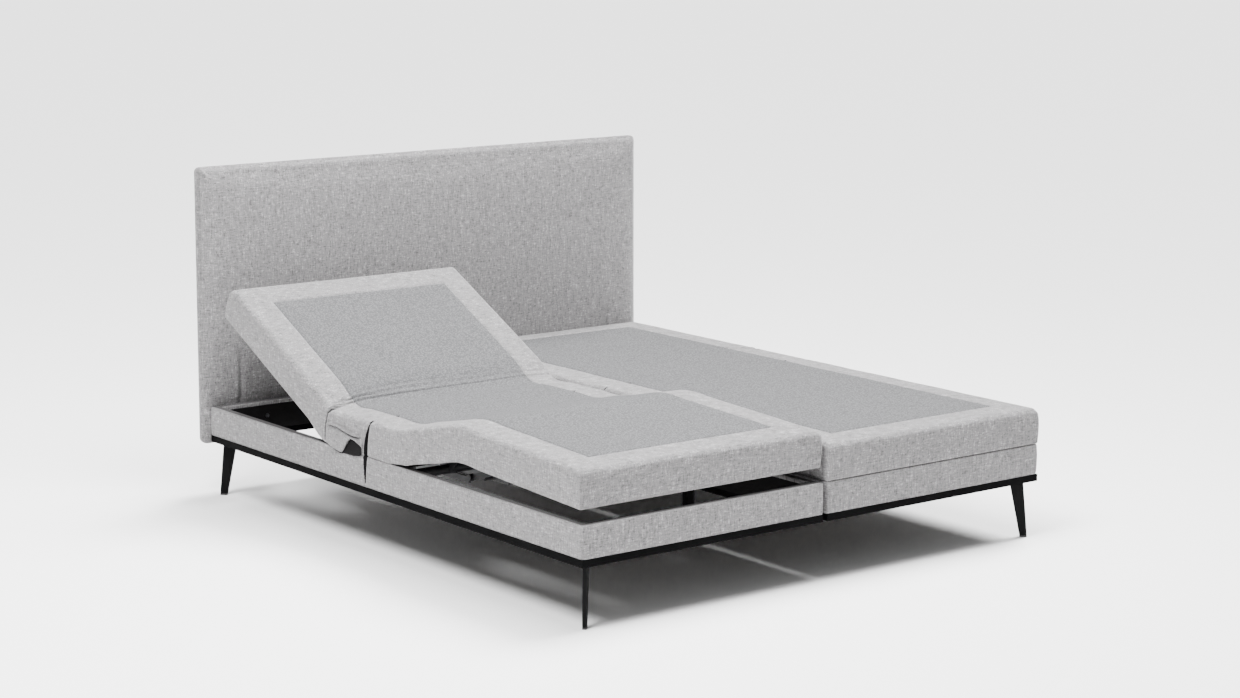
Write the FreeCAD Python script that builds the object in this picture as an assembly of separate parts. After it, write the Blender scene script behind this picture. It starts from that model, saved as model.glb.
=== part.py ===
import FreeCAD, Part
import math
import os

# Adjustable twin box-spring base with a headboard.
# Frame: +X to the sleeper's right seen from the foot end, +Y to the headboard, +Z up.
# The origin is at the middle of the footprint, on the floor.  All sizes are in millimetres.

os.makedirs("parts", exist_ok=True)
V = FreeCAD.Vector
HALVES = (("left", -1), ("right", 1))
BOTH_SIDES = (-1, 1)

# overall plan
half_width = 900.0
middle_gap_half = 9.0
headboard_thick = 50.0
box_length = 2120.0
foot_face = -(box_length + headboard_thick) / 2
head_face = foot_face + box_length
headboard_back = head_face + headboard_thick

# heights
plinth_z = 184.0
rail_z = 206.0
rail_top = 304.0
moving_bottom = 304.5
pad_top = 419.0

# lower box
rail_thick = 30.0
rail_edge_radius = 12.0
edge_match = 1.0
plinth_width = 25.0
inner_face = half_width - rail_thick
inner_rail_far = middle_gap_half + rail_thick
section_half = (half_width - middle_gap_half) / 2

# joints of the four lying sections
pivot_z = 270.0
hip_y = 275.0
thigh_y = -125.0
knee_y = -478.0
knee_z = 292.0
back_end = head_face - 16.0
back_opening = 60.0
thigh_opening = 30.0
seat_back_lean = 30.0
back_lean = 32.0
seat_thigh_lean = 15.0
thigh_lean = 17.0
knee_play = 0.4
seat_trim_spare = 150.0
trim_reach = 400.0

# how far each half is raised in the stored pose, in degrees
raised = {"left": {"back": 26.0, "thigh": 11.5}, "right": {"back": 0.0, "thigh": 0.0}}
calf_per_thigh = 1.23
link_per_thigh = 1.03

# section build-up
board_thick = 15.0
board_inset = 15.0
pad_edge_radius = 18.0

# steel frames under the sections
tube_radius = 15.0
tube_bore = 12.0
tube_end_play = 2.0
bar_bottom = 292.0
arm_offset = 250.0
arm_thick = 8.0
cross_bar_width = 25.0
back_arm_length = 600.0
calf_arm_length = 450.0
hanger_reach = 10.0
hanger_z = 262.0
hanger_bottom = 256.0
hanger_under = 6.0
haunch_z = 288.0
back_haunch = 90.0
thigh_haunch = 60.0
back_arm_root = 24.0
thigh_arm_root = 14.0
arm_taper = 6.0
knee_top = moving_bottom - 0.5
knee_side_play = 0.5
knee_step = 1.0
knee_pin_spare = 1.0
pin_radius = 5.0
running_play = 0.05
open_play = 0.8

# link that steadies the calf section
link_foot = (-191.0, 249.0)
link_head = (-525.0, 275.0)
link_offset = 205.0
link_thick = 8.0
link_eye = 11.0
link_half_depth = 9.0
link_pin_stand = 3.0
link_pin_spare = 1.0
calf_ear_lap = 2.0
bracket_gap = 1.0
bracket_drop = 17.0
bracket_web = 3.0
bracket_chamfer = (4.0, 5.0)

# drive
lever_length = 50.0
lever_tip = 8.0
lever_web = 5.0
lever_thick = 12.0
push_gap = 1.2
push_length = 40.0
push_half_width = 28.0
push_z = (197.0, 224.0)
drive_half_width = 70.0
drive_z = (192.0, 282.0)
drive_y = (-58.0, 198.0)
cheek_x = (30.0, 40.0)
cheek_top = 292.0
cheek_reach = 22.0
hook_play = 0.4
drive_edge_radius = 10.0
cheek_floor_play = 1.0
gland_y = 0.0
gland_z = 235.0
gland_radius = 9.0
gland_length = 14.0
bearing_width = 25.0
bearing_reach = 29.0

# cross members under the seat
cross_z = 284.0
back_cross_y = (195.0, 245.0)
thigh_cross_y = (-95.0, -45.0)

# legs
leg_tip_inset = 29.0
leg_top_inset = 47.0
leg_tip_width = 24.0
leg_top_width = 44.0
leg_thick = 12.0
glide_height = 6.0
leg_plate_thick = 5.0
leg_plate_inset = (25.5, 118.0)
corner_block_top = 240.0
leg_bolt_places = ((45.0, 103.0), (103.0, 45.0), (100.0, 100.0))
bolt_radius = 4.0
bolt_hole_radius = 4.5
bolt_head_radius = 7.5
bolt_head_height = 5.0
bolt_head_play = 1.0
leg_bolt_length = 40.0
support_leg_y = (-435.0, 385.0)
support_leg_radius = 20.0
support_glide_height = 10.0
support_plate = (45.0, 35.0, 4.0)
bar_middle = middle_gap_half + plinth_width / 2

# headboard
headboard_half_width = 925.0
headboard_z = (175.0, 1120.0)
headboard_edge_radius = 18.0
headboard_core_thick = 18.0
headboard_core_inset = 22.0
headboard_bolt_x = (200.0, 700.0)
headboard_bolt_z = 255.0
headboard_bolt_length = 72.0
coupling_y = (-600.0, 600.0)
coupling_z = 255.0
coupling_end = 10.0

# hip gusset on the outer side
gusset_y = (65.0, 275.0)
gusset_z = (292.0, 366.0)
gusset_swell = 12.0


def block(xs, ys, zs):
    x0, x1 = sorted(xs)
    y0, y1 = sorted(ys)
    z0, z1 = sorted(zs)
    return Part.makeBox(x1 - x0, y1 - y0, z1 - z0, V(x0, y0, z0))


def rod_x(xs, y, z, radius):
    x0, x1 = sorted(xs)
    return Part.makeCylinder(radius, x1 - x0, V(x0, y, z), V(1, 0, 0))


def rod_y(x, ys, z, radius):
    y0, y1 = sorted(ys)
    return Part.makeCylinder(radius, y1 - y0, V(x, y0, z), V(0, 1, 0))


def rod_z(x, y, zs, radius):
    z0, z1 = sorted(zs)
    return Part.makeCylinder(radius, z1 - z0, V(x, y, z0), V(0, 0, 1))


def hexagon(centre, axis, radius, height):
    """Hexagonal bolt head or nut, standing along axis from centre."""
    head = Part.Face(Part.makePolygon(hexagon_points(radius))).extrude(V(0, 0, height))
    head.Placement = FreeCAD.Placement(centre, FreeCAD.Rotation(V(0, 0, 1), axis))
    return head


def hexagon_points(radius):
    turns = [math.radians(60 * corner) for corner in range(7)]
    return [V(radius * math.cos(turn), radius * math.sin(turn), 0) for turn in turns]


def plate(xs, points):
    """Flat plate across X with the outline given as (y, z) points."""
    x0, x1 = sorted(xs)
    outline = [V(x0, y, z) for y, z in points]
    outline.append(outline[0])
    return Part.Face(Part.makePolygon(outline)).extrude(V(x1 - x0, 0, 0))


def soften(solid, radius, chosen):
    edges = [edge for edge in solid.Edges if chosen(edge.CenterOfMass)]
    return solid.makeFillet(radius, edges)


def cut_all(solid, tools):
    for tool in tools:
        solid = solid.cut(tool)
    return solid


def join(pieces):
    whole = pieces[0]
    for piece in pieces[1:]:
        whole = whole.fuse(piece)
    return whole.removeSplitter()


def save(name, pieces):
    shape = pieces[0] if len(pieces) == 1 else Part.makeCompound(pieces)
    shape.exportStep("parts/" + name + ".step")


def around(value, spread):
    return (value - spread, value + spread)


def across(side, near, far):
    """X range between two distances from the middle plane, on one side of it."""
    return (side * near, side * far)


def half_middle(side):
    return side * (middle_gap_half + half_width) / 2


def arm_x(side, which, offset, thick):
    """X range of a plate that stands offset from the middle line of a half."""
    middle = half_middle(side)
    return (middle + which * offset, middle + which * (offset + thick))


def turn(pieces, y, z, degrees):
    turned = []
    for piece in pieces:
        copy = piece.copy()
        copy.rotate(V(0, y, z), V(1, 0, 0), degrees)
        turned.append(copy)
    return turned


def raise_back(name, pieces):
    return turn(pieces, hip_y, pivot_z, raised[name]["back"])


def raise_thigh(name, pieces):
    return turn(pieces, thigh_y, pivot_z, -raised[name]["thigh"])


def raise_calf(name, pieces):
    folded = turn(pieces, knee_y, knee_z, calf_per_thigh * raised[name]["thigh"])
    return raise_thigh(name, folded)


def raise_link(name, pieces):
    return turn(pieces, link_foot[0], link_foot[1], -link_per_thigh * raised[name]["thigh"])


def beyond(y, lean, way):
    """Everything on one side, way, of a plane through a section pivot that leans by degrees to +Y."""
    top = pivot_z + trim_reach
    leaning = y + trim_reach * math.tan(math.radians(lean))
    far = y + way * trim_reach
    return plate(around(0, half_width + 1), [(y, pivot_z), (leaning, top), (far, top), (far, pivot_z)])


def section_block(side, ys, inset, zs):
    xs = across(side, middle_gap_half + inset, half_width - inset)
    return block(xs, ys, zs)


def section(side, ys, bottom, trims, rounded_end):
    """Board and pad of one lying section; the pad wraps the board on its sides and free end."""
    y0, y1 = ys
    board_y0 = y0 + board_inset if rounded_end == y0 else y0
    board_y1 = y1 - board_inset if rounded_end == y1 else y1
    board = section_block(side, (board_y0, board_y1), board_inset, (bottom, bottom + board_thick))
    pad = section_block(side, ys, 0, (bottom, pad_top))
    low = bottom + edge_match
    high = pad_top - edge_match

    def long_or_free(point):
        top_side = point.z > high and abs(abs(point.x - half_middle(side)) - section_half) < edge_match
        free_end = rounded_end is not None and abs(point.y - rounded_end) < edge_match and point.z > low
        return top_side or free_end

    pad = soften(pad, pad_edge_radius, long_or_free)
    board = cut_all(board, trims)
    pad = cut_all(pad, trims + [board])
    return board, pad


# ---------------------------------------------------------------- lower box

def make_plinth():
    """Flat black bars that the upholstered boxes stand on."""
    zs = (plinth_z, rail_z)
    along = (foot_face, head_face)
    side_bars = []
    centre_bars = []
    foot_bars = []
    head_bars = []
    for side in BOTH_SIDES:
        side_bars.append(block(across(side, half_width - plinth_width, half_width), along, zs))
        bar = block(across(side, middle_gap_half, middle_gap_half + plinth_width), along, zs)
        holes = [rod_z(side * bar_middle, y, zs, bolt_radius) for y in support_leg_y]
        centre_bars.append(cut_all(bar, holes))
        between = across(side, middle_gap_half + plinth_width, half_width - plinth_width)
        foot_bars.append(block(between, (foot_face, foot_face + plinth_width), zs))
        head_bars.append(block(between, (head_face - plinth_width, head_face), zs))
    save("plinth_side_bars", side_bars)
    save("plinth_centre_bars", centre_bars)
    save("plinth_foot_bars", foot_bars)
    save("plinth_head_bars", head_bars)


def headboard_bolt_places(side):
    return [side * x for x in headboard_bolt_x]


def make_rails(name, side):
    """Four upholstered rails of one lower box, open at the bottom."""
    zs = (rail_z, rail_top)
    outer_x = side * half_width
    side_rail = block(across(side, inner_face, half_width), (foot_face, head_face), zs)

    def outer_edge(point):
        on_outer = abs(point.x - outer_x) < edge_match
        top = on_outer and point.z > rail_top - edge_match
        foot_corner = on_outer and abs(point.y - foot_face) < edge_match
        return top or foot_corner

    save(name + "_side_rail", [soften(side_rail, rail_edge_radius, outer_edge)])

    inner_rail = block(across(side, middle_gap_half, inner_rail_far), (foot_face, head_face), zs)
    holes = [rod_x(across(side, 0, half_width), y, coupling_z, bolt_hole_radius) for y in coupling_y]
    save(name + "_inner_rail", [cut_all(inner_rail, holes)])

    between = across(side, inner_rail_far, inner_face)
    foot_rail = block(between, (foot_face, foot_face + rail_thick), zs)

    def foot_edge(point):
        return abs(point.y - foot_face) < edge_match and point.z > rail_top - edge_match

    save(name + "_foot_rail", [soften(foot_rail, rail_edge_radius, foot_edge)])

    head_rail = block(between, (head_face - rail_thick, head_face), zs)
    holes = [rod_y(x, (head_face - rail_thick, head_face), headboard_bolt_z, bolt_hole_radius)
             for x in headboard_bolt_places(side)]
    save(name + "_head_rail", [cut_all(head_rail, holes)])


def make_cross_members(name, side):
    """Two bars between the rails that carry the fixed seat section."""
    xs = across(side, inner_rail_far, inner_face)
    members = [block(xs, ys, (cross_z, rail_top)) for ys in (back_cross_y, thigh_cross_y)]
    save(name + "_cross_members", members)


# ---------------------------------------------------------------- legs

def corners():
    """Each corner of the plan as (name, outer x, outer y, x step inward, y step inward)."""
    places = []
    for y_name, y, y_in in (("foot", foot_face, 1), ("head", head_face, -1)):
        for x_name, side in HALVES:
            places.append((y_name + "_" + x_name, side * half_width, y, -side, y_in))
    return places


def blade_wire(x, y, x_in, y_in, inset, width, z):
    """Rectangle of a leg blade, long way along the plan diagonal."""
    root_half = math.sqrt(0.5)
    along = V(x_in * root_half, y_in * root_half, 0) * (width / 2)
    aside = V(-y_in * root_half, x_in * root_half, 0) * (leg_thick / 2)
    centre = V(x + x_in * inset, y + y_in * inset, z)
    points = [centre + along + aside, centre + along - aside, centre - along - aside, centre - along + aside]
    points.append(points[0])
    return Part.makePolygon(points)


def corner_bolts(x, y, x_in, y_in):
    return [(x + x_in * a, y + y_in * b) for a, b in leg_bolt_places]


def bolt_up(x, y, z, length):
    """Bolt with its head below z and its shank standing up from z."""
    head = hexagon(V(x, y, z - bolt_head_height), V(0, 0, 1), bolt_head_radius, bolt_head_height)
    return join([head, rod_z(x, y, (z, z + length), bolt_radius)])


def make_legs():
    glides = []
    bolts = []
    blocks = []
    top = plinth_z + leg_plate_thick
    for name, x, y, x_in, y_in in corners():
        tip = blade_wire(x, y, x_in, y_in, leg_tip_inset, leg_tip_width, glide_height)
        root = blade_wire(x, y, x_in, y_in, leg_top_inset, leg_top_width, plinth_z)
        blade = Part.makeLoft([tip, root], True, True)
        near, far = leg_plate_inset
        pad_xs = (x + x_in * near, x + x_in * far)
        pad_ys = (y + y_in * near, y + y_in * far)
        places = corner_bolts(x, y, x_in, y_in)
        holes = [rod_z(bx, by, (plinth_z, top), bolt_hole_radius) for bx, by in places]
        foot_plate = cut_all(block(pad_xs, pad_ys, (plinth_z, top)), holes)
        save("leg_" + name, [join([blade, foot_plate])])

        foot = blade_wire(x, y, x_in, y_in, leg_tip_inset, leg_tip_width, 0)
        glides.append(Part.Face(foot).extrude(V(0, 0, glide_height)))

        block_xs = (x + x_in * rail_thick, x + x_in * far)
        block_ys = (y + y_in * rail_thick, y + y_in * far)
        corner_block = block(block_xs, block_ys, (top, corner_block_top))
        bores = [rod_z(bx, by, (top, plinth_z + leg_bolt_length), bolt_radius) for bx, by in places]
        blocks.append(cut_all(corner_block, bores))
        bolts += [bolt_up(bx, by, plinth_z, leg_bolt_length) for bx, by in places]

    supports = []
    half_x, half_y, thick = support_plate
    for y in support_leg_y:
        glides.append(rod_z(0, y, (0, support_glide_height), support_leg_radius))
        head_zs = (plinth_z - thick, plinth_z)
        post = rod_z(0, y, (support_glide_height, plinth_z - thick), support_leg_radius)
        head = block(around(0, half_x), around(y, half_y), head_zs)
        holes = [rod_z(side * bar_middle, y, head_zs, bolt_hole_radius) for side in BOTH_SIDES]
        clear_radius = bolt_head_radius + bolt_head_play
        clear = [rod_z(side * bar_middle, y, (0, plinth_z - thick), clear_radius) for side in BOTH_SIDES]
        supports.append(cut_all(join([post, head]), holes + clear))
        bolts += [bolt_up(side * bar_middle, y, plinth_z - thick, rail_z - plinth_z) for side in BOTH_SIDES]
    save("support_legs", supports)
    save("leg_glides", glides)
    save("leg_bolts", bolts)
    save("corner_blocks", blocks)


# ---------------------------------------------------------------- headboard

def make_headboard():
    """Board core set into the back of one padded, covered panel, bolted through the head rails."""
    z0, z1 = headboard_z
    panel = block(around(0, headboard_half_width), (head_face, headboard_back), headboard_z)

    def rounded(point):
        on_rim = abs(abs(point.x) - headboard_half_width) < edge_match or abs(point.z - z1) < edge_match
        bottom_back = abs(point.z - z0) < edge_match and abs(point.y - headboard_back) < edge_match
        return on_rim or bottom_back

    panel = soften(panel, headboard_edge_radius, rounded)
    core_xs = around(0, headboard_half_width - headboard_core_inset)
    core_zs = (z0 + headboard_core_inset, z1 - headboard_core_inset)
    core = block(core_xs, (headboard_back - headboard_core_thick, headboard_back), core_zs)
    bolts = []
    inside = head_face - rail_thick
    for side in BOTH_SIDES:
        for x in headboard_bolt_places(side):
            shank = rod_y(x, (inside, inside + headboard_bolt_length), headboard_bolt_z, bolt_radius)
            head = hexagon(V(x, inside, headboard_bolt_z), V(0, -1, 0), bolt_head_radius, bolt_head_height)
            bolts.append(join([head, shank]))
            core = core.cut(shank)
            panel = panel.cut(shank)
    save("headboard_padding", [panel.cut(core)])
    save("headboard_core", [core])
    save("headboard_bolts", bolts)


def make_coupling_bolts():
    """Bolts through both inner rails that hold the two boxes together."""
    bolts = []
    for y in coupling_y:
        head = hexagon(V(-inner_rail_far, y, coupling_z), V(-1, 0, 0), bolt_head_radius, bolt_head_height)
        shank = rod_x((-inner_rail_far, inner_rail_far + coupling_end), y, coupling_z, bolt_radius)
        nut = hexagon(V(inner_rail_far, y, coupling_z), V(1, 0, 0), bolt_head_radius, bolt_head_height)
        bolts.append(join([head, shank]))
        bolts.append(nut.cut(shank))
    save("box_coupling_bolts", bolts)


# ---------------------------------------------------------------- lying sections

def make_sections(name, side):
    trims = [beyond(hip_y, -seat_back_lean, 1), beyond(thigh_y, seat_thigh_lean, -1)]
    board, pad = section(side, (thigh_y - seat_trim_spare, hip_y + seat_trim_spare), rail_top, trims, None)
    save(name + "_seat_board", [board])
    save(name + "_seat_pad", [pad])

    board, pad = section(side, (hip_y, back_end), moving_bottom, [beyond(hip_y, back_lean, -1)], back_end)
    save(name + "_back_board", raise_back(name, [board]))
    save(name + "_back_pad", raise_back(name, [pad]))

    along = (knee_y + knee_play, thigh_y)
    board, pad = section(side, along, moving_bottom, [beyond(thigh_y, -thigh_lean, 1)], None)
    save(name + "_thigh_board", raise_thigh(name, [board]))
    save(name + "_thigh_pad", raise_thigh(name, [pad]))

    board, pad = section(side, (foot_face, knee_y - knee_play), moving_bottom, [], foot_face)
    save(name + "_calf_board", raise_calf(name, [board]))
    save(name + "_calf_pad", raise_calf(name, [pad]))


# ---------------------------------------------------------------- steel frames, links and drive

def tube_span(side):
    return across(side, inner_rail_far + tube_end_play, inner_face - tube_end_play)


def lever(side, y, degrees):
    """Lever that hangs from a torsion tube, leaning by degrees towards +Y."""
    xs = around(half_middle(side), lever_thick / 2)
    down = pivot_z - lever_length
    web = block(xs, around(y, lever_web), (down, pivot_z))
    tip = rod_x(xs, y, down, lever_tip)
    return turn([join([web, tip])], y, pivot_z, degrees)[0]


def tube_with(side, y, extras):
    """Torsion tube with everything that is welded to it, bored through."""
    tube = rod_x(tube_span(side), y, pivot_z, tube_radius)
    bore = rod_x(tube_span(side), y, pivot_z, tube_bore)
    return join([tube] + extras).cut(bore)


def make_back_frame(name, side):
    far = hip_y + back_arm_length
    outline = [(hip_y - hanger_reach, hanger_z), (hip_y + hanger_under, hanger_bottom),
               (hip_y + back_haunch, haunch_z), (far, bar_bottom), (far, moving_bottom),
               (hip_y + back_arm_root, moving_bottom)]
    arms = [plate(arm_x(side, which, arm_offset, arm_thick), outline) for which in BOTH_SIDES]
    reach = around(half_middle(side), arm_offset + arm_thick)
    bar = block(reach, (far - cross_bar_width, far), (bar_bottom, moving_bottom))
    frame = tube_with(side, hip_y, arms + [bar, lever(side, hip_y, -back_opening / 2)])
    save(name + "_back_frame", raise_back(name, [frame]))


def make_thigh_frame(name, side):
    outline = [(thigh_y + hanger_reach, hanger_z), (thigh_y - hanger_under, hanger_bottom),
               (thigh_y - thigh_haunch, haunch_z), (knee_y, bar_bottom - arm_taper),
               (knee_y, knee_top), (thigh_y - thigh_arm_root, moving_bottom)]
    pieces = []
    ear = knee_top - knee_z
    for which in BOTH_SIDES:
        xs = arm_x(side, which, arm_offset, arm_thick)
        pin_xs = arm_x(side, which, arm_offset - arm_thick - knee_pin_spare, 2 * arm_thick)
        pieces += [plate(xs, outline), rod_x(xs, knee_y, knee_z, ear)]
        pieces.append(rod_x(pin_xs, knee_y, knee_z, pin_radius))
    bar_y = knee_y + 2 * cross_bar_width
    reach = around(half_middle(side), arm_offset + arm_thick)
    pieces.append(block(reach, (bar_y, bar_y + cross_bar_width), (bar_bottom, moving_bottom)))
    pieces.append(lever(side, thigh_y, thigh_opening / 2))
    save(name + "_thigh_frame", raise_thigh(name, [tube_with(side, thigh_y, pieces)]))


def link_pin_span(side, which):
    """X range of a pin that carries one end of a calf link."""
    length = link_pin_stand + link_thick + bracket_gap + link_pin_spare
    return arm_x(side, which, link_offset - link_pin_stand, length)


def make_calf_frame(name, side):
    far = knee_y - calf_arm_length
    ear = knee_top - knee_z
    y, z = link_head
    pieces = []
    holes = []
    for which in BOTH_SIDES:
        xs = arm_x(side, which, arm_offset - arm_thick - knee_side_play, arm_thick)
        arm = block(xs, (far, knee_y), (bar_bottom, moving_bottom))
        pieces.append(arm.cut(block(xs, (knee_y - knee_step, knee_y), (knee_top, moving_bottom))))
        pieces.append(rod_x(xs, knee_y, knee_z, ear))
        holes.append(rod_x(xs, knee_y, knee_z, pin_radius + running_play))
        ear_xs = arm_x(side, which, link_offset + link_thick + bracket_gap, arm_thick)
        pieces.append(rod_x(ear_xs, y, z, link_eye))
        pieces.append(block(ear_xs, around(y, link_eye), (z, bar_bottom + calf_ear_lap)))
        pieces.append(rod_x(link_pin_span(side, which), y, z, pin_radius))
    reach = around(half_middle(side), arm_offset - knee_side_play)
    pieces.append(block(reach, around(y, cross_bar_width / 2), (bar_bottom, moving_bottom)))
    pieces.append(block(reach, (far, far + cross_bar_width), (bar_bottom, moving_bottom)))
    save(name + "_calf_frame", raise_calf(name, [cut_all(join(pieces), holes)]))


def make_calf_links(name, side):
    """Two flat bars from the seat brackets to the calf frame."""
    (y0, z0), (y1, z1) = link_foot, link_head
    length = math.hypot(y1 - y0, z1 - z0)
    lean = math.degrees(math.atan2(z1 - z0, y0 - y1))
    links = []
    for which in BOTH_SIDES:
        xs = arm_x(side, which, link_offset, link_thick)
        bar = block(xs, (y0 - length, y0), around(z0, link_half_depth))
        far_eye = rod_x(xs, y0 - length, z0, link_eye)
        near_eye = rod_x(xs, y0, z0, link_eye)
        near_hole = rod_x(xs, y0, z0, pin_radius + running_play)
        far_hole = rod_x(xs, y0 - length, z0, pin_radius + open_play)
        link = cut_all(join([bar, near_eye, far_eye]), [near_hole, far_hole])
        links += turn([link], y0, z0, -lean)
    save(name + "_calf_links", raise_link(name, links))


def make_link_brackets(name, side):
    """Brackets that hang from the front cross member and hold the link pins."""
    y, z = link_foot
    y0, y1 = thigh_cross_y
    low = z - bracket_drop
    shoulder = z + bracket_web
    step_y, step_z = bracket_chamfer
    brackets = []
    for which in BOTH_SIDES:
        xs = arm_x(side, which, link_offset + link_thick + bracket_gap, arm_thick)
        outline = [(y1, cross_z), (y1, low), (y, low), (y, shoulder), (y0 - step_y, shoulder),
                   (y0, shoulder + step_z), (y0, cross_z)]
        pin = rod_x(link_pin_span(side, which), y, z, pin_radius)
        brackets.append(join([plate(xs, outline), rod_x(xs, y, z, link_eye), pin]))
    save(name + "_link_brackets", brackets)


def make_bearings():
    """Nylon blocks on the rails that the torsion tubes turn in."""
    blocks = []
    for side in BOTH_SIDES:
        for y in (hip_y, thigh_y):
            hole = rod_x(across(side, 0, half_width), y, pivot_z, tube_radius + running_play)
            for near in (inner_rail_far, inner_face - bearing_width):
                xs = across(side, near, near + bearing_width)
                body = block(xs, around(y, bearing_reach), around(pivot_z, bearing_reach))
                blocks.append(body.cut(hole))
    save("tube_bearings", blocks)


def make_drive(name, side):
    """Twin-motor housing hung between the two torsion tubes."""
    middle = half_middle(side)
    body = block(around(middle, drive_half_width), drive_y, drive_z)

    def flat_edge(point):
        return min(abs(point.z - drive_z[0]), abs(point.z - drive_z[1])) < edge_match

    body = soften(body, drive_edge_radius, flat_edge)
    pieces = [body]
    hooks = []
    mouths = ((drive_y[1], hip_y, 1), (drive_y[0], thigh_y, -1))
    for start, tube_y, way in mouths:
        end = tube_y + way * cheek_reach
        floor_zs = (drive_z[0], push_z[0] - cheek_floor_play)
        pieces.append(block(around(middle, cheek_x[1]), (start, end), floor_zs))
        for which in BOTH_SIDES:
            xs = (middle + which * cheek_x[0], middle + which * cheek_x[1])
            pieces.append(block(xs, (start, end), drive_z))
            pieces.append(block(xs, around(tube_y, cheek_reach), (drive_z[1], cheek_top)))
        hooks.append(rod_x(around(middle, cheek_x[1]), tube_y, pivot_z, tube_radius + hook_play))
    outer = middle + side * drive_half_width
    gland = rod_x((outer, outer + side * gland_length), gland_y, gland_z, gland_radius)
    save(name + "_drive_housing", [cut_all(join(pieces + [gland]), hooks)])


def push_block(side, tube_y, way, opening, travelled):
    """Block on the drive spindle that pushes a lever; travelled is how far it has gone."""
    swing = lever_length * math.sin(math.radians(opening / 2))
    face = tube_y + way * (travelled - swing - lever_tip - push_gap)
    xs = around(half_middle(side), push_half_width)
    return block(xs, (face - way * push_length, face), push_z)


def push_travel(opening, degrees):
    return 2 * lever_length * math.sin(math.radians(opening / 2)) * degrees / opening


def make_push_blocks(name, side):
    back_travel = push_travel(back_opening, raised[name]["back"])
    save(name + "_back_push_block", [push_block(side, hip_y, 1, back_opening, back_travel)])
    thigh_travel = push_travel(thigh_opening, raised[name]["thigh"])
    save(name + "_leg_push_block", [push_block(side, thigh_y, -1, thigh_opening, thigh_travel)])


def make_gussets():
    """Soft pleated gusset that bridges the lower box and the seat on each outer side."""
    gussets = []
    z_middle = sum(gusset_z) / 2
    for side in BOTH_SIDES:
        outer = side * half_width
        points = [V(outer, gusset_y[0], gusset_z[0]), V(outer + side * gusset_swell, gusset_y[0], z_middle),
                  V(outer, gusset_y[0], gusset_z[1])]
        points.append(points[0])
        profile = Part.Face(Part.makePolygon(points))
        gussets.append(profile.extrude(V(0, gusset_y[1] - gusset_y[0], 0)))
    save("hip_gussets", gussets)


make_plinth()
make_legs()
make_headboard()
make_coupling_bolts()
make_gussets()
make_bearings()
for half_name, half_side in HALVES:
    make_rails(half_name, half_side)
    make_cross_members(half_name, half_side)
    make_sections(half_name, half_side)
    make_back_frame(half_name, half_side)
    make_thigh_frame(half_name, half_side)
    make_calf_frame(half_name, half_side)
    make_calf_links(half_name, half_side)
    make_link_brackets(half_name, half_side)
    make_drive(half_name, half_side)
    make_push_blocks(half_name, half_side)
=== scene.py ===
import math

import bpy
import numpy as np
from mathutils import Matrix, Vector, noise


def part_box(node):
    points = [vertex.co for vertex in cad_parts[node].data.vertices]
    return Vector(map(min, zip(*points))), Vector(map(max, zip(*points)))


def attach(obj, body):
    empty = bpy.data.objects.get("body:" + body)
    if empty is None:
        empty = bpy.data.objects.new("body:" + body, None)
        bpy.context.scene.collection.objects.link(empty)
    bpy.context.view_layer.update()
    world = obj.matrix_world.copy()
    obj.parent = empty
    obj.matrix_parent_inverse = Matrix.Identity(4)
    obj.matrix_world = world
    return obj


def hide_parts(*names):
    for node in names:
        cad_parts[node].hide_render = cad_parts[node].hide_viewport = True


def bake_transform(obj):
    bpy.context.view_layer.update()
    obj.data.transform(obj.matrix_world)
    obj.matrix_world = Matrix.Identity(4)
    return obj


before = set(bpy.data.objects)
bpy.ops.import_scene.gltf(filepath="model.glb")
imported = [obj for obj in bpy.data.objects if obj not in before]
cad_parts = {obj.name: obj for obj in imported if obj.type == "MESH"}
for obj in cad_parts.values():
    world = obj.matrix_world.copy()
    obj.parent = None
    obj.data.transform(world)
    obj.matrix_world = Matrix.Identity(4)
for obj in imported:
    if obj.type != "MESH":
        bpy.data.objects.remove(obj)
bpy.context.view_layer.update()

# Adjustable twin box-spring base: covers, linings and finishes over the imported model.
# +X to the sleeper's right, +Y to the headboard, +Z up, metres.

# ---------------------------------------------------------------- camera, floor and light

cam = bpy.data.cameras.new("camera")
cam.lens = 78.38
cam.sensor_width = 36.0
cam.shift_y = -0.08
camera = bpy.data.objects.new("camera", cam)
camera.location = (-5.249, -6.966, 2.110)
camera.rotation_euler = (math.radians(90 - 8.02), 0, math.radians(-37.30))
bpy.context.scene.collection.objects.link(camera)
bpy.context.scene.camera = camera

world = bpy.data.worlds.new("studio")
world.use_nodes = True
backdrop = world.node_tree.nodes["Background"]
backdrop.inputs["Strength"].default_value = 1.9
direction = world.node_tree.nodes.new("ShaderNodeTexCoord")
height = world.node_tree.nodes.new("ShaderNodeSeparateXYZ")
fading = world.node_tree.nodes.new("ShaderNodeValToRGB")
fading.color_ramp.interpolation = "EASE"
fading.color_ramp.elements[0].position = 0.0
fading.color_ramp.elements[0].color = (0.34, 0.34, 0.34, 1.0)
fading.color_ramp.elements[1].position = 0.16
fading.color_ramp.elements[1].color = (0.24, 0.24, 0.24, 1.0)
world.node_tree.links.new(direction.outputs["Generated"], height.inputs["Vector"])
world.node_tree.links.new(height.outputs["Z"], fading.inputs["Fac"])
world.node_tree.links.new(fading.outputs["Color"], backdrop.inputs["Color"])
bpy.context.scene.world = world


def softbox(name, place, target, size, power):
    data = bpy.data.lights.new(name, "AREA")
    data.shape = "DISK"
    data.size = size
    data.energy = power
    lamp = bpy.data.objects.new(name, data)
    lamp.location = place
    lamp.rotation_euler = (Vector(target) - Vector(place)).to_track_quat("-Z", "Y").to_euler()
    bpy.context.scene.collection.objects.link(lamp)


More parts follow.
